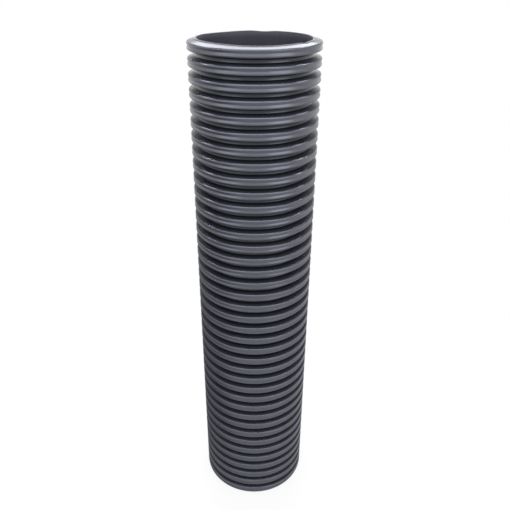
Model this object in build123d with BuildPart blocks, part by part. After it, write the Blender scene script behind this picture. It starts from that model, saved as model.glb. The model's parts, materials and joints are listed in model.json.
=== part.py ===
"""Protective guard tube: a length of twin-wall corrugated pipe, standing on its sawn end.

The tube is one extruded piece. A thin smooth liner is welded inside a thin corrugated wall, so every
rib holds a sealed ring of air. The Z axis is the tube's own axis, with Z = 0 at the lower sawn end.
"""

import os
from math import atan2, cos, pi, tan

from build123d import *

os.makedirs("parts", exist_ok=True)

# Driving dimensions, in millimetres
OUTER_DIAMETER = 110.0  # over the rib crowns
RIB_HEIGHT = 6.5  # of a crown above the valley floor
RIB_WALL = 0.8  # the corrugated wall
LINER_WALL = 0.7  # the smooth liner
RIB_COUNT = 39
RIB_PITCH = 12.3  # from one rib to the next along the tube
CROWN_WIDTH = 6.0  # along the tube, between the two corners of a crown before they are rounded
VALLEY_WIDTH = 2.9  # along the tube, flat floor between two ribs before its corners are rounded
GROOVE_DEPTH = 0.75  # of the shrink groove along the middle of a crown, before it is rounded
RIDGE_WIDTH = 0.32  # level band between a rounded crown corner and the groove
CROWN_CORNER_RADIUS = 1.2
RIDGE_RADIUS = 0.8  # where the crown turns down into the groove
GROOVE_RADIUS = 1.2  # along the bottom of the groove
VALLEY_CORNER_RADIUS = 0.6
POCKET_CORNER_RADIUS = 0.5
END_STUB = 0.5  # valley floor that the saw leaves beyond the first and the last rib

# Radii of the wall's layers, from the outside in
crown_radius = OUTER_DIAMETER / 2
valley_radius = crown_radius - RIB_HEIGHT
liner_radius = valley_radius - RIB_WALL
bore_radius = liner_radius - LINER_WALL

# Lengths along the tube
rib_foot = RIB_PITCH - VALLEY_WIDTH
tube_length = (RIB_COUNT - 1) * RIB_PITCH + rib_foot + 2 * END_STUB

# Lean of a rib's flank away from square to the axis, in radians, and what follows from it
flank_lean = atan2((rib_foot - CROWN_WIDTH) / 2, RIB_HEIGHT)
corner_reach = CROWN_CORNER_RADIUS * tan((pi / 2 - flank_lean) / 2)
groove_half = CROWN_WIDTH / 2 - corner_reach - RIDGE_WIDTH


def pocket_half(radius):
    """Half the width of the air pocket at a radius, one wall's thickness inside the rib's flank."""
    return CROWN_WIDTH / 2 + (crown_radius - radius) * tan(flank_lean) - RIB_WALL / cos(flank_lean)


# Air pocket of one rib, with radius along X and the tube's axis along Y
roof_radius = crown_radius - RIB_WALL
with BuildSketch() as pocket_section:
    with BuildLine():
        Polyline(
            (roof_radius, -groove_half),
            (roof_radius, -pocket_half(roof_radius)),
            (liner_radius, -pocket_half(liner_radius)),
            (liner_radius, pocket_half(liner_radius)),
            (roof_radius, pocket_half(roof_radius)),
            (roof_radius, groove_half),
            (roof_radius - GROOVE_DEPTH, 0),
            close=True,
        )
    make_face()
    fillet(pocket_section.vertices(), radius=POCKET_CORNER_RADIUS)

# One pitch of the wall: half a valley, a rib with its grooved crown, and half a valley
with BuildSketch() as rib_section:
    with BuildLine():
        Polyline(
            (crown_radius, -groove_half),
            (crown_radius, -CROWN_WIDTH / 2),
            (valley_radius, -rib_foot / 2),
            (valley_radius, -RIB_PITCH / 2),
            (bore_radius, -RIB_PITCH / 2),
            (bore_radius, RIB_PITCH / 2),
            (valley_radius, RIB_PITCH / 2),
            (valley_radius, rib_foot / 2),
            (crown_radius, CROWN_WIDTH / 2),
            (crown_radius, groove_half),
            (crown_radius - GROOVE_DEPTH, 0),
            close=True,
        )
    make_face()
    crown_corners = rib_section.vertices().group_by(Axis.X)[-1].sort_by(Axis.Y)
    fillet([crown_corners[0], crown_corners[-1]], radius=CROWN_CORNER_RADIUS)
    groove_edges = rib_section.vertices().group_by(Axis.X)[-1].sort_by(Axis.Y)
    fillet(groove_edges[1:-1], radius=RIDGE_RADIUS)
    groove_bottom = rib_section.vertices().sort_by_distance((crown_radius - GROOVE_DEPTH, 0))[0]
    fillet(groove_bottom, radius=GROOVE_RADIUS)
    valley_side = rib_section.vertices().group_by(Axis.X)[1].sort_by(Axis.Y)
    fillet(valley_side[1:-1], radius=VALLEY_CORNER_RADIUS)
    add(pocket_section.sketch, mode=Mode.SUBTRACT)

# The ribs stand one above the other, both ends are sawn square, and the section is turned
with BuildPart() as guard_tube:
    with BuildSketch(Plane.XZ) as wall_section:
        with Locations((0, tube_length / 2)):
            with GridLocations(0, RIB_PITCH, 1, RIB_COUNT):
                add(rib_section.sketch)
            Rectangle(OUTER_DIAMETER, tube_length, mode=Mode.INTERSECT)
    revolve(axis=Axis.Z)

guard_tube.part.label = "guard_tube"
export_step(guard_tube.part, "parts/guard_tube.step")
print("length", tube_length, "volume", guard_tube.part.volume)
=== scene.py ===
# %% [markdown]
# # A guard tube of corrugated pipe
# The object is a short length of black twin-wall pipe, stood on its sawn end. A corrugator blows the hot
# outer wall into rib moulds and welds a smooth liner inside it, so the tube is one piece of plastic with
# ring ribs outside and a plain bore. The CAD model gives the sizes. This lesson models the same wall with
# its finer relief, gives it the look of satin polyethylene and sets up a plain white studio.

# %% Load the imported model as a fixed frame
import json
import math

import bmesh
import bpy
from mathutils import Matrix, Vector


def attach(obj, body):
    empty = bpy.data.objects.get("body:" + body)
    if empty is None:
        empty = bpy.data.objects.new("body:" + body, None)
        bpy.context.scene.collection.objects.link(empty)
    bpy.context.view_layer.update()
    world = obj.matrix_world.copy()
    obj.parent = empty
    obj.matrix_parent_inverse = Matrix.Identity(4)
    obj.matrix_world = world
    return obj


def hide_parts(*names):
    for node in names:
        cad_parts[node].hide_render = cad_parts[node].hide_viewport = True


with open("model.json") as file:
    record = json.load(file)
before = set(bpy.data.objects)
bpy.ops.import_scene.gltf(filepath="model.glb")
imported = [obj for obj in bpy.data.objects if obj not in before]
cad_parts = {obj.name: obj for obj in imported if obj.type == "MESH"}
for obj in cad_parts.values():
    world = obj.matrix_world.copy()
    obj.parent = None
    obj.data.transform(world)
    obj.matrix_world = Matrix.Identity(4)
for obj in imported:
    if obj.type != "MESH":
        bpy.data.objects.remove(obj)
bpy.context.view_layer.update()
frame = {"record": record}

# %% [markdown]
# ## The sizes of the wall
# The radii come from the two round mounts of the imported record. The section of a rib is given here in the
# maker's own terms: pitch, crown, valley and flank. Blender works in metres, so every size is a number of
# millimetres times MM. The flank leans a little, as it must to leave the mould, and everything that follows
# from the lean is worked out once.

# %% Sizes of the wall, in metres
MM = 0.001
mounts = {mount["name"]: mount for mount in frame["record"]["mounts"]}
bore_radius = mounts["sleeve_bore"]["dims"]["r_mm"] * MM
crown_radius = mounts["outer_crowns"]["dims"]["r_mm"] * MM

RIB_COUNT = 39
RIB_PITCH = 12.3 * MM
RIB_HEIGHT = 6.5 * MM
CROWN_WIDTH = 6.0 * MM
VALLEY_WIDTH = 2.9 * MM
GROOVE_DEPTH = 0.75 * MM
RIDGE_WIDTH = 0.32 * MM
CROWN_CORNER_RADIUS = 1.2 * MM
RIDGE_RADIUS = 0.8 * MM
GROOVE_RADIUS = 1.2 * MM
VALLEY_CORNER_RADIUS = 0.6 * MM
END_STUB = 0.5 * MM

valley_radius = crown_radius - RIB_HEIGHT
rib_foot = RIB_PITCH - VALLEY_WIDTH
flank_lean = math.atan2((rib_foot - CROWN_WIDTH) / 2, RIB_HEIGHT)
corner_turn = math.pi / 2 - flank_lean
groove_half = CROWN_WIDTH / 2 - CROWN_CORNER_RADIUS * math.tan(corner_turn / 2) - RIDGE_WIDTH
groove_slope = math.atan2(GROOVE_DEPTH, groove_half)
tube_length = (RIB_COUNT - 1) * RIB_PITCH + rib_foot + 2 * END_STUB
lowest_rib = END_STUB + rib_foot / 2
print("flanks lean", round(math.degrees(flank_lean), 1), "degrees")
print("tube", round(tube_length / MM, 1), "mm long")

# %% [markdown]
# ## One pitch of the wall
# A pipe like this could be lathed from one long outline. Because every rib comes from the same mould, it is
# simpler to draw the outline of a single rib, turn it once round the axis and repeat the ring. The outline
# starts as one vertex, a small plane merged at its middle, and grows by extruding that vertex from corner
# to corner. The crown dips along its middle, which gives each rib two bright lines instead of one. A
# second, shorter line inside is the liner, which bulges slightly between two welds.

# %% Draw the outline of one rib and its liner
LINER_BULGE = 0.12 * MM


def extrude_along(points):
    """Extrudes the selected vertex along a list of (radius, height) points that starts where it is."""
    for (radius, height), (next_radius, next_height) in zip(points, points[1:]):
        step = (next_radius - radius, 0, next_height - height)
        bpy.ops.mesh.extrude_vertices_move(TRANSFORM_OT_translate={"value": step})


rib_outline = [
    (valley_radius, -RIB_PITCH / 2),
    (valley_radius, -rib_foot / 2),
    (crown_radius, -CROWN_WIDTH / 2),
    (crown_radius, -groove_half),
    (crown_radius - GROOVE_DEPTH, 0),
    (crown_radius, groove_half),
    (crown_radius, CROWN_WIDTH / 2),
    (valley_radius, rib_foot / 2),
    (valley_radius, RIB_PITCH / 2),
]
liner_outline = [
    (bore_radius, -RIB_PITCH / 2),
    (bore_radius + LINER_BULGE, 0),
    (bore_radius, RIB_PITCH / 2),
]

bpy.ops.object.select_all(action="DESELECT")
bpy.ops.mesh.primitive_plane_add(size=RIB_PITCH)
tube = bpy.context.object
tube.name = "corrugated_tube"
tube.data.name = tube.name
bpy.ops.object.mode_set(mode="EDIT")
for outline in (rib_outline, liner_outline):
    if outline is liner_outline:
        bpy.ops.mesh.primitive_plane_add(size=RIB_PITCH)
    bpy.ops.mesh.merge(type="CENTER")
    start_radius, start_height = outline[0]
    bpy.ops.transform.translate(value=(start_radius, 0, lowest_rib + start_height))
    extrude_along(outline)
print("outline points", len(rib_outline), "and", len(liner_outline))

# %% [markdown]
# ## Round the corners
# Moulded plastic has no knife edges. A vertex bevel turns each corner of the outline into an arc: the two
# crown corners and the ridges beside the groove, which catch the light as the bright lines along every rib,
# the bottom of the groove, and the two feet in the valley. The crown corners show most, so they get one
# more segment than the others.

# %% Bevel the corners of the outline
CLOSE = 0.001 * MM
CROWN_SEGMENTS = 3
SMALL_SEGMENTS = 2


def select_vertices(test):
    """Selects the vertices of the edited mesh whose place passes the test, and returns how many."""
    bpy.ops.mesh.select_mode(type="VERT")
    bpy.ops.mesh.select_all(action="DESELECT")
    edited = bmesh.from_edit_mesh(bpy.context.object.data)
    chosen = [vertex for vertex in edited.verts if not vertex.hide and test(vertex.co)]
    for vertex in chosen:
        vertex.select_set(True)
    edited.select_flush_mode()
    bmesh.update_edit_mesh(bpy.context.object.data)
    return len(chosen)


def round_corners(radius, half_width, corner_radius, turn, segments):
    """Bevels the outline corners at a radius, half a width off the rib's middle, into arcs."""
    count = select_vertices(
        lambda place: abs(place.x - radius) < CLOSE and abs(abs(place.z - lowest_rib) - half_width) < CLOSE
    )
    reach = corner_radius * math.tan(turn / 2)
    bpy.ops.mesh.bevel(offset=reach, segments=segments, affect="VERTICES")
    return count


rounded = [
    round_corners(crown_radius, CROWN_WIDTH / 2, CROWN_CORNER_RADIUS, corner_turn, CROWN_SEGMENTS),
    round_corners(crown_radius, groove_half, RIDGE_RADIUS, groove_slope, SMALL_SEGMENTS),
    round_corners(crown_radius - GROOVE_DEPTH, 0, GROOVE_RADIUS, 2 * groove_slope, SMALL_SEGMENTS),
    round_corners(valley_radius, rib_foot / 2, VALLEY_CORNER_RADIUS, corner_turn, SMALL_SEGMENTS),
]
print("rounded corners: crown, ridges, groove, feet", rounded)

# %% [markdown]
# ## Turn it and repeat it
# Spin makes the outline a ring, and an Array modifier stacks the rings at the rib pitch and merges the
# vertices where they meet, so the wall is one closed skin and not a pile of hoops.

# %% Spin the outline and stack the ribs
SEGMENTS = 90

bpy.ops.mesh.select_all(action="SELECT")
bpy.ops.mesh.spin(steps=SEGMENTS, angle=math.tau, center=(0, 0, 0), axis=(0, 0, 1))
bpy.ops.mesh.select_all(action="SELECT")
bpy.ops.mesh.remove_doubles(threshold=CLOSE)
bpy.ops.object.mode_set(mode="OBJECT")
stack = tube.modifiers.new("rib_stack", "ARRAY")
stack.count = RIB_COUNT
stack.use_relative_offset = False
stack.use_constant_offset = True
stack.constant_offset_displace = (0, 0, RIB_PITCH)
stack.use_merge_vertices = True
stack.merge_threshold = CLOSE
bpy.ops.object.modifier_apply(modifier=stack.name)
print("stacked", RIB_COUNT, "ribs:", len(tube.data.polygons), "faces")

# %% [markdown]
# ## Saw the ends
# The stack ends in the middle of a valley at both ends, and the saw leaves only a short stub beyond the
# last rib. The open loops are moved to the sawn length. Then the outer loop is extruded in place and scaled
# onto the inner one, where the two merge, which gives the narrow flat rim. A bridge between the loops would
# do as well, but it twists when they start at different corners. A tiny bevel breaks the inner edge.

# %% Move the open ends to the sawn length and close them
EDGE_BREAK = 0.15 * MM
# The scaled loop meets the inner one only roughly, so they merge over a wider gap
RIM_CLOSE = 10 * CLOSE
liner_limit = (bore_radius + valley_radius) / 2


def select_open_end(upper):
    """Selects the open loops at the upper or the lower end of the edited mesh."""
    bpy.ops.mesh.select_mode(type="EDGE")
    bpy.ops.mesh.select_all(action="DESELECT")
    edited = bmesh.from_edit_mesh(bpy.context.object.data)
    for edge in edited.edges:
        at_end = (edge.verts[0].co.z > tube_length / 2) == upper
        edge.select_set(edge.is_boundary and at_end)
    bmesh.update_edit_mesh(bpy.context.object.data)


bpy.ops.object.mode_set(mode="EDIT")
surplus = VALLEY_WIDTH / 2 - END_STUB
to_bore = bore_radius / valley_radius
for upper in (False, True):
    end_height = tube_length if upper else 0
    select_open_end(upper)
    bpy.ops.transform.translate(value=(0, 0, -surplus if upper else surplus))
    select_vertices(lambda place: abs(place.z - end_height) < CLOSE and place.xy.length > liner_limit)
    bpy.ops.mesh.extrude_region_move(TRANSFORM_OT_translate={"value": (0, 0, 0)})
    bpy.ops.transform.resize(value=(to_bore, to_bore, 1), center_override=(0, 0, end_height))
bpy.ops.mesh.select_all(action="SELECT")
bpy.ops.mesh.remove_doubles(threshold=RIM_CLOSE)
bpy.ops.mesh.normals_make_consistent(inside=False)
for end_height in (0, tube_length):
    select_vertices(lambda place: abs(place.z - end_height) < CLOSE and place.xy.length < liner_limit)
    bpy.ops.mesh.bevel(offset=EDGE_BREAK, segments=1, affect="EDGES")
print("closed both ends;", len(bmesh.from_edit_mesh(tube.data).faces), "faces")

# %% [markdown]
# ## The hand-cut edge
# The upper end was cut by hand, so its edge wanders: it is highest at the left front, runs down to the foot
# of the rib at the front and the right, and has two shallow waves at the back. It is pulled down by
# proportional editing, a soft push that fades with distance. All but the rim is hidden first, so that the
# ribs below stay as they are.

# %% Pull the upper edge down in soft strokes
RIM_DEPTH = 0.7 * MM
# Direction of each stroke in degrees round the axis, how far it goes down and how far it reaches
SAW_STROKES = [
    (278, 0.75 * MM, 42 * MM),
    (345, 0.50 * MM, 40 * MM),
    (325, 0.50 * MM, 5 * MM),
    (79, 0.65 * MM, 13 * MM),
    (128, 0.45 * MM, 30 * MM),
]
# Faces that meet at a sharper angle than this, in degrees, keep a crisp edge
CRISP_ANGLE = 50

select_vertices(lambda place: place.z > tube_length - RIM_DEPTH)
bpy.ops.mesh.hide(unselected=True)
nearest = math.cos(math.pi / SEGMENTS)
for degrees, drop, reach in SAW_STROKES:
    direction = Vector((math.cos(math.radians(degrees)), math.sin(math.radians(degrees))))
    select_vertices(lambda place: place.xy.normalized().dot(direction) >= nearest)
    bpy.ops.transform.translate(
        value=(0, 0, -drop),
        use_proportional_edit=True,
        proportional_edit_falloff="SMOOTH",
        proportional_size=reach,
    )
bpy.ops.mesh.reveal(select=False)
bpy.ops.object.mode_set(mode="OBJECT")
bpy.ops.object.shade_smooth_by_angle(angle=math.radians(CRISP_ANGLE))
heights = [vertex.co.z for vertex in tube.data.vertices]
print("tube from", round(min(heights) / MM, 2), "to", round(max(heights) / MM, 2), "mm")

# %% [markdown]
# ## Tools for the materials
# Colours are written as sRGB hex values, as a paint program shows them, and one function turns them to the
# linear values that Cycles works with. One more function adds a node, sets it up and links it.

# %% Helpers for colours and nodes


def linear(hex_colour):
    """Linear RGBA of an sRGB hex colour."""
    channels = [int(hex_colour[i:i + 2], 16) / 255 for i in (1, 3, 5)]
    return [c / 12.92 if c <= 0.04045 else ((c + 0.055) / 1.055) ** 2.4 for c in channels] + [1.0]


def add_node(tree, kind, settings, inputs):
    """Adds a node with its settings; an input takes a value, or a link where it is given a socket."""
    node = tree.nodes.new(kind)
    for name, value in settings.items():
        setattr(node, name, value)
    for key, value in inputs.items():
        if isinstance(value, bpy.types.NodeSocket):
            tree.links.new(value, node.inputs[key])
        else:
            node.inputs[key].default_value = value
    return node


def new_material(name):
    """An empty node material; returns it with its node tree."""
    material = bpy.data.materials.new(name)
    material.use_nodes = True
    material.node_tree.nodes.clear()
    return material, material.node_tree


print("middle grey in linear light", [round(c, 3) for c in linear("#808080")])

# %% [markdown]
# ## Satin black polyethylene
# The outer wall is high-density polyethylene coloured with carbon black and blown into chilled moulds. The
# mould leaves it almost smooth: a very dark, slightly bluish grey with a satin gloss, so that it shows
# pale, soft-edged reflections. The valleys are painted near-black and given weaker reflections than the
# crowns: this is painted shade, standing in for the shade deep in the narrow grooves. The colour blends
# from the crown colour to the painted shade with the distance from the axis. The gloss could do so too,
# but an export drops a gloss that comes from nodes, so crowns and valleys are two materials with a plain
# gloss each, the lower one in the valleys being painted shade too. The pattern reads the Object
# coordinates, so it stays with the tube.

# %% Materials of the outer wall
POLYETHYLENE_IOR = 1.54
# Strength of the reflections, where 0.5 is what the IOR gives
CROWN_GLOSS = 0.92
# The valleys' weaker reflections are painted shade, for the shade deep in the grooves
VALLEY_SHADE_GLOSS = 0.55
REFLECTION_TINT = "#edf0ff"
# Painted shade: the valleys are coloured this near-black to stand in for the shade in the grooves
VALLEY_PAINTED_SHADE = "#0f1014"
CROWN_DARK = "#25262c"
CROWN_LIGHT = "#2f3036"
# Roughness varies between these with the mottling
SMOOTHEST = 0.26
ROUGHEST = 0.30
MOTTLE = 9 * MM
MOTTLE_DETAIL = 3.0
# The real grain is a few hundredths of a millimetre wide; it is drawn coarser so that it shows
GRAIN = 2.0 * MM
GRAIN_HEIGHT = 0.02 * MM
GRAIN_STRENGTH = 0.3
FINE_DETAIL = 2.0


def moulded_plastic(name, gloss):
    """Moulded polyethylene with painted shade: black in the valley and lighter on the crown, with its share
    of gloss.
    """
    material, tree = new_material(name)
    place = add_node(tree, "ShaderNodeTexCoord", {}, {}).outputs["Object"]
    flat = add_node(tree, "ShaderNodeVectorMath", {"operation": "MULTIPLY"}, {0: place, 1: (1, 1, 0)})
    radius = add_node(tree, "ShaderNodeVectorMath", {"operation": "LENGTH"}, {0: flat.outputs["Vector"]})
    # Share of the crown colour by the distance from the axis; towards the valley the colour turns to
    # painted shade
    crown_share = add_node(
        tree,
        "ShaderNodeMapRange",
        {"interpolation_type": "SMOOTHSTEP"},
        {
            "Value": radius.outputs["Value"],
            "From Min": valley_radius,
            "From Max": crown_radius - GROOVE_DEPTH,
        },
    )
    mottle = add_node(
        tree,
        "ShaderNodeTexNoise",
        {},
        {"Vector": place, "Scale": 1 / MOTTLE, "Detail": MOTTLE_DETAIL},
    )
    crown_colour = add_node(
        tree,
        "ShaderNodeMixRGB",
        {},
        {"Fac": mottle.outputs["Fac"], "Color1": linear(CROWN_DARK), "Color2": linear(CROWN_LIGHT)},
    )
    # Painted shade: black at the valley, the crown colour on the crown
    colour = add_node(
        tree,
        "ShaderNodeMixRGB",
        {},
        {
            "Fac": crown_share.outputs["Result"],
            "Color1": linear(VALLEY_PAINTED_SHADE),
            "Color2": crown_colour.outputs["Color"],
        },
    )
    roughness = add_node(
        tree,
        "ShaderNodeMapRange",
        {},
        {"Value": mottle.outputs["Fac"], "To Min": SMOOTHEST, "To Max": ROUGHEST},
    )
    grain = add_node(
        tree,
        "ShaderNodeTexNoise",
        {},
        {"Vector": place, "Scale": 1 / GRAIN, "Detail": FINE_DETAIL},
    )
    relief = add_node(
        tree,
        "ShaderNodeBump",
        {},
        {"Strength": GRAIN_STRENGTH, "Distance": GRAIN_HEIGHT, "Height": grain.outputs["Fac"]},
    )
    shader = add_node(
        tree,
        "ShaderNodeBsdfPrincipled",
        {},
        {
            "Base Color": colour.outputs["Color"],
            "Roughness": roughness.outputs["Result"],
            "IOR": POLYETHYLENE_IOR,
            "Specular IOR Level": gloss,
            "Specular Tint": linear(REFLECTION_TINT),
            "Normal": relief.outputs["Normal"],
        },
    )
    add_node(tree, "ShaderNodeOutputMaterial", {}, {"Surface": shader.outputs["BSDF"]})
    return material


# Crown faces: pale, soft-edged reflections along each rib
crown_plastic = moulded_plastic("blow_moulded_black_polyethylene", CROWN_GLOSS)
# Valley faces: painted shade, nearly black, with weaker reflections
valley_shade_plastic = moulded_plastic("black_polyethylene_with_painted_valley_shade", VALLEY_SHADE_GLOSS)
print("materials", crown_plastic.name, valley_shade_plastic.name)

# %% [markdown]
# ## The liner and the sawn edge
# The liner comes straight from the extruder die, without a mould, so it is a lighter grey with faint lines
# along the tube. The saw leaves its face matt and pale, with fine marks that all run one way. Both are
# streaked plastic, so one function makes them: a noise pattern that is stretched along one axis, which
# costs less than cutting such fine lines into the mesh.

# %% Materials of the liner and of the sawn faces
DIE_LINE = 2.5 * MM
SAW_MARK = 1.5 * MM
LINE_STRETCH = 0.06
LINER_DARK = "#2a2b31"
LINER_LIGHT = "#33343b"
LINER_ROUGHNESS = 0.5
LINER_GLOSS = 0.23
SAWN_DARK = "#5e5c5f"
SAWN_LIGHT = "#787477"
SAWN_ROUGHNESS = 0.8
SAWN_GLOSS = 0.18


def streaked_plastic(name, stretch, streak, dark, light, roughness, gloss):
    """Unpolished polyethylene with streaks of a width, along the axis whose stretch is small."""
    material, tree = new_material(name)
    place = add_node(tree, "ShaderNodeTexCoord", {}, {}).outputs["Object"]
    drawn = add_node(tree, "ShaderNodeVectorMath", {"operation": "MULTIPLY"}, {0: place, 1: stretch})
    streaks = add_node(
        tree,
        "ShaderNodeTexNoise",
        {},
        {"Vector": drawn.outputs["Vector"], "Scale": 1 / streak, "Detail": FINE_DETAIL},
    )
    colour = add_node(
        tree,
        "ShaderNodeMixRGB",
        {},
        {"Fac": streaks.outputs["Fac"], "Color1": linear(dark), "Color2": linear(light)},
    )
    shader = add_node(
        tree,
        "ShaderNodeBsdfPrincipled",
        {},
        {
            "Base Color": colour.outputs["Color"],
            "Roughness": roughness,
            "IOR": POLYETHYLENE_IOR,
            "Specular IOR Level": gloss,
        },
    )
    add_node(tree, "ShaderNodeOutputMaterial", {}, {"Surface": shader.outputs["BSDF"]})
    return material


# Drawn from the die: an even dark grey with little gloss
liner_plastic = streaked_plastic(
    "extruded_grey_polyethylene",
    (1, 1, LINE_STRETCH),
    DIE_LINE,
    LINER_DARK,
    LINER_LIGHT,
    LINER_ROUGHNESS,
    LINER_GLOSS,
)
# Torn by the saw teeth: matt and paler than any other face
sawn_plastic = streaked_plastic(
    "sawn_grey_polyethylene",
    (1, LINE_STRETCH, 1),
    SAW_MARK,
    SAWN_DARK,
    SAWN_LIGHT,
    SAWN_ROUGHNESS,
    SAWN_GLOSS,
)
print("materials", liner_plastic.name, sawn_plastic.name)

# %% [markdown]
# ## Which face gets which plastic
# On the real tube the finish follows the place: the liner inside and the saw marks on the two ends.
# Outside, the valleys take the material with painted shade and weaker reflections, the crowns the other.
# The faces could be picked ring by ring in edit mode, but on a tube the distance of a face's middle from
# the axis already tells them apart.

# %% Give every face its material
CROWN, VALLEY, LINER, SAWN = range(4)

tube.data.materials.clear()
for material in (crown_plastic, valley_shade_plastic, liner_plastic, sawn_plastic):
    tube.data.materials.append(material)
counts = [0, 0, 0, 0]
for polygon in tube.data.polygons:
    reach = polygon.center.xy.length
    if reach < bore_radius + LINER_BULGE:
        polygon.material_index = LINER
    elif reach < valley_radius - EDGE_BREAK:
        polygon.material_index = SAWN
    # Faces in the valleys get the material with the painted shade
    elif reach < crown_radius - CROWN_CORNER_RADIUS:
        polygon.material_index = VALLEY
    else:
        polygon.material_index = CROWN
    counts[polygon.material_index] += 1
print("faces of crowns, valleys, liner and sawn edge", counts)

# %% [markdown]
# ## The white floor
# The tube stands on a white floor that fills the picture. Lamps strong enough to make paper this white
# would burn out the tube, so the floor glows instead, but only for the camera and in reflections, and it
# lights nothing else. Near the tube's foot the glow gives way a little to plain paper, which takes the soft
# shadow. In reflections the floor behind the tube and at its left is darker, as if it lay in shade.

# %% Floor
FLOOR_SIZE = 16.0

bpy.ops.object.select_all(action="DESELECT")
bpy.ops.mesh.primitive_plane_add(size=FLOOR_SIZE)
floor = bpy.context.object
floor.name = "studio_floor"
print("floor", FLOOR_SIZE, "m wide")

# %% Paper and glow of the floor
PAPER_COLOUR = "#e6e6e8"
PURE_WHITE = "#ffffff"
# Share of the glow at the tube's foot, and the distances between which it grows to all of the floor
FLOOR_GLOW = 0.85
SHADOW_NEAR = 0.15
SHADOW_END = 0.55
# The shade in reflections lies to the back and the left, and ends with the distance from the tube
SHADE_DIRECTION = (-0.75, 0.66, 0)
SHADE_START = -0.1
SHADE_FULL = 0.12
SHADE_LEVEL = 0.2
SHADE_NEAR = 0.7
SHADE_END = 1.4

floor_white, tree = new_material("white_studio_floor")
paper = add_node(tree, "ShaderNodeBsdfDiffuse", {}, {"Color": linear(PAPER_COLOUR)})
ray = add_node(tree, "ShaderNodeLightPath", {}, {})
place = add_node(tree, "ShaderNodeTexCoord", {}, {}).outputs["Object"]
away = add_node(tree, "ShaderNodeVectorMath", {"operation": "LENGTH"}, {0: place})
behind = add_node(
    tree,
    "ShaderNodeVectorMath",
    {"operation": "DOT_PRODUCT"},
    {0: place, 1: SHADE_DIRECTION},
)
shade = add_node(
    tree,
    "ShaderNodeMapRange",
    {},
    {
        "Value": behind.outputs["Value"],
        "From Min": SHADE_START,
        "From Max": SHADE_FULL,
        "To Min": 1.0,
        "To Max": SHADE_LEVEL,
    },
)
clear = add_node(
    tree,
    "ShaderNodeMapRange",
    {},
    {
        "Value": away.outputs["Value"],
        "From Min": SHADE_NEAR,
        "From Max": SHADE_END,
        "To Min": shade.outputs["Result"],
        "To Max": 1.0,
    },
)
strength = add_node(
    tree,
    "ShaderNodeMath",
    {"operation": "MAXIMUM"},
    {0: clear.outputs["Result"], 1: ray.outputs["Is Camera Ray"]},
)
glow = add_node(
    tree,
    "ShaderNodeEmission",
    {},
    {"Color": linear(PURE_WHITE), "Strength": strength.outputs["Value"]},
)
mirrored = add_node(
    tree,
    "ShaderNodeMath",
    {"operation": "MAXIMUM"},
    {0: ray.outputs["Is Glossy Ray"], 1: ray.outputs["Is Transmission Ray"]},
)
seen = add_node(
    tree,
    "ShaderNodeMath",
    {"operation": "MAXIMUM"},
    {0: ray.outputs["Is Camera Ray"], 1: mirrored.outputs["Value"]},
)
glow_share = add_node(
    tree,
    "ShaderNodeMapRange",
    {},
    {
        "Value": away.outputs["Value"],
        "From Min": SHADOW_NEAR,
        "From Max": SHADOW_END,
        "To Min": FLOOR_GLOW,
        "To Max": 1.0,
    },
)
share = add_node(
    tree,
    "ShaderNodeMath",
    {"operation": "MULTIPLY"},
    {0: seen.outputs["Value"], 1: glow_share.outputs["Result"]},
)
blend = add_node(
    tree,
    "ShaderNodeMixShader",
    {},
    {0: share.outputs["Value"], 1: paper.outputs["BSDF"], 2: glow.outputs["Emission"]},
)
add_node(tree, "ShaderNodeOutputMaterial", {}, {"Surface": blend.outputs["Shader"]})
floor.data.materials.append(floor_white)
print("material", floor_white.name)

# %% [markdown]
# ## The room
# Round the floor is a white light tent, which needs no walls: the world's colour draws it. The camera sees
# plain white. The tube sees a room that is bright low down and dark overhead, and behind the tube a dark
# one above a low bright wall. An even room would leave the ribs flat, because black plastic shows little
# but what it mirrors.

# %% World
# Brightness of the room in front by the sine of the elevation
ROOM_LEVELS = [(0.0, 0.95), (0.3, 1.65), (0.6, 0.95), (0.8, 0.15)]
BRIGHTEST = 2.0
BACK_WALL_HEIGHT = 0.3
BACK_WALL_LEVEL = 1.75
BACK_LEVEL = 0.25
# How far to the back a direction points where the front of the room has given way to the back
BACK_TURN = 0.4

world = bpy.data.worlds.new("white_room")
bpy.context.scene.world = world
world.use_nodes = True
tree = world.node_tree
tree.nodes.clear()
ray = add_node(tree, "ShaderNodeLightPath", {}, {})
seen = add_node(
    tree,
    "ShaderNodeMath",
    {"operation": "MAXIMUM"},
    {0: ray.outputs["Is Camera Ray"], 1: ray.outputs["Is Transmission Ray"]},
)
toward = add_node(tree, "ShaderNodeTexCoord", {}, {}).outputs["Generated"]
lift = add_node(tree, "ShaderNodeSeparateXYZ", {}, {0: toward})
fade = add_node(tree, "ShaderNodeValToRGB", {}, {"Fac": lift.outputs["Z"]})
stops = fade.color_ramp.elements
while len(stops) < len(ROOM_LEVELS):
    stops.new(1.0)
for stop, (position, brightness) in zip(stops, ROOM_LEVELS):
    stop.position = position
    stop.color = [brightness / BRIGHTEST] * 3 + [1.0]
lit = add_node(tree, "ShaderNodeMath", {"operation": "MULTIPLY"}, {0: fade.outputs["Color"], 1: BRIGHTEST})
behind = add_node(
    tree,
    "ShaderNodeMapRange",
    {},
    {
        "Value": lift.outputs["Z"],
        "From Max": BACK_WALL_HEIGHT,
        "To Min": BACK_WALL_LEVEL,
        "To Max": BACK_LEVEL,
    },
)
around = add_node(
    tree,
    "ShaderNodeMapRange",
    {},
    {
        "Value": lift.outputs["Y"],
        "From Max": BACK_TURN,
        "To Min": lit.outputs["Value"],
        "To Max": behind.outputs["Result"],
    },
)
level = add_node(
    tree,
    "ShaderNodeMapRange",
    {},
    {"Value": seen.outputs["Value"], "To Min": around.outputs["Result"], "To Max": 1.0},
)
room = add_node(
    tree,
    "ShaderNodeBackground",
    {},
    {"Color": linear(PURE_WHITE), "Strength": level.outputs["Result"]},
)
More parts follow.
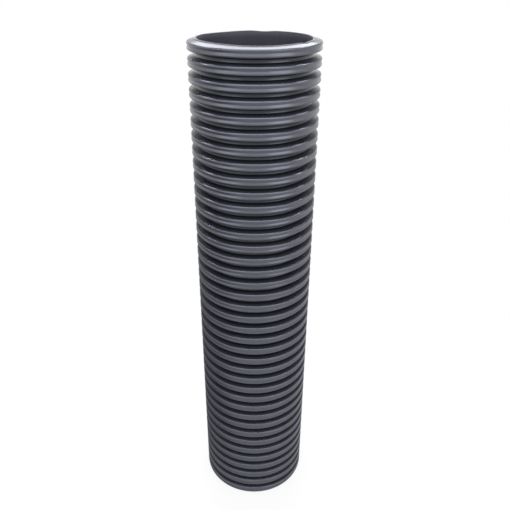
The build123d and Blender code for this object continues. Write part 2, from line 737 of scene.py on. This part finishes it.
add_node(tree, "ShaderNodeOutputWorld", {}, {"Surface": room.outputs["Background"]})
print("room levels", ROOM_LEVELS)

# %% [markdown]
# ## The lamps
# Black plastic is lit by what it mirrors, so most lamps are large softboxes round the tube: one above, a
# weak one in front, a strong one at the right front, a weaker one at the left front, and one behind that
# makes the upper rim shine. Two small lamps behind the tube, at the left and the right, have narrow beams
# that catch only its top ribs. Each lamp is given by where it is seen from the tube and by its radiance,
# which is the brightness that a reflection shows.

# %% Softboxes
LAMP_COLOUR = "#f8f9ff"
AIM_HEIGHT = 0.4
TOP_HEIGHT = 0.45
# Beams of the lamps, in degrees from edge to edge
WIDE_BEAM = 180
NARROW_BEAM = 17


def add_softbox(name, azimuth, elevation, distance, size, radiance, height=AIM_HEIGHT, beam=WIDE_BEAM):
    """A square area light, placed by its direction from the tube in degrees, that faces the tube."""
    lamp = bpy.data.lights.new(name, "AREA")
    lamp.size = size
    lamp.spread = math.radians(beam)
    # A narrow beam packs its power into fewer directions, so it needs less power for its radiance
    cone = lamp.spread / 2
    lamp.energy = radiance * math.pi * size * size * (1 - cone / math.tan(cone))
    lamp.color = linear(LAMP_COLOUR)[:3]
    turn = math.radians(azimuth)
    rise = math.radians(elevation)
    direction = Vector((math.cos(rise) * math.cos(turn), math.cos(rise) * math.sin(turn), math.sin(rise)))
    softbox = bpy.data.objects.new(name, lamp)
    softbox.location = Vector((0, 0, height)) + distance * direction
    softbox.rotation_euler = (-direction).to_track_quat("-Z", "Y").to_euler()
    bpy.context.scene.collection.objects.link(softbox)
    return softbox


# Azimuth and elevation in degrees, distance and size in metres, radiance
softboxes = [
    add_softbox("overhead_softbox", -90, 78, 0.5, 0.55, 4.4),
    add_softbox("front_softbox", -90, 42, 0.55, 0.4, 0.95),
    add_softbox("right_softbox", -45, 14, 0.9, 0.6, 2.35),
    add_softbox("left_softbox", -135, 14, 0.9, 0.6, 1.4),
    add_softbox("back_softbox", 90, 47, 1.0, 0.8, 6.4),
    add_softbox("back_left_softbox", 150, 42, 0.5, 0.2, 42.0, TOP_HEIGHT, NARROW_BEAM),
    add_softbox("back_right_softbox", 30, 42, 0.5, 0.2, 42.0, TOP_HEIGHT, NARROW_BEAM),
]
print("lamps", [softbox.name for softbox in softboxes])

# %% [markdown]
# ## The camera
# It stands close to the tube, a little above its top, and looks down on it, so the tube seems to taper. The
# distances were found by matching the ribs of a plain model to the picture.

# %% Camera
CAMERA_PLACE = (0.0006, -0.4638, 0.5307)
CAMERA_DIP = 28.54
CAMERA_ROLL = 0.12
FOCAL_PIXELS = 538.8
IMAGE_PIXELS = 510
SENSOR = 36.0

camera_data = bpy.data.cameras.new("camera")
camera_data.sensor_width = SENSOR
camera_data.lens = SENSOR * FOCAL_PIXELS / IMAGE_PIXELS
camera = bpy.data.objects.new("camera", camera_data)
camera.location = CAMERA_PLACE
camera.rotation_mode = "ZYX"
camera.rotation_euler = (math.radians(90 - CAMERA_DIP), 0, math.radians(CAMERA_ROLL))
bpy.context.scene.collection.objects.link(camera)
bpy.context.scene.camera = camera
bpy.context.scene.view_settings.view_transform = "Standard"
print("lens", round(camera_data.lens, 2), "mm")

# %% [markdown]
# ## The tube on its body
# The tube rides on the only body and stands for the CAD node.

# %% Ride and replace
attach(tube, "root")
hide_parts("guard_tube")
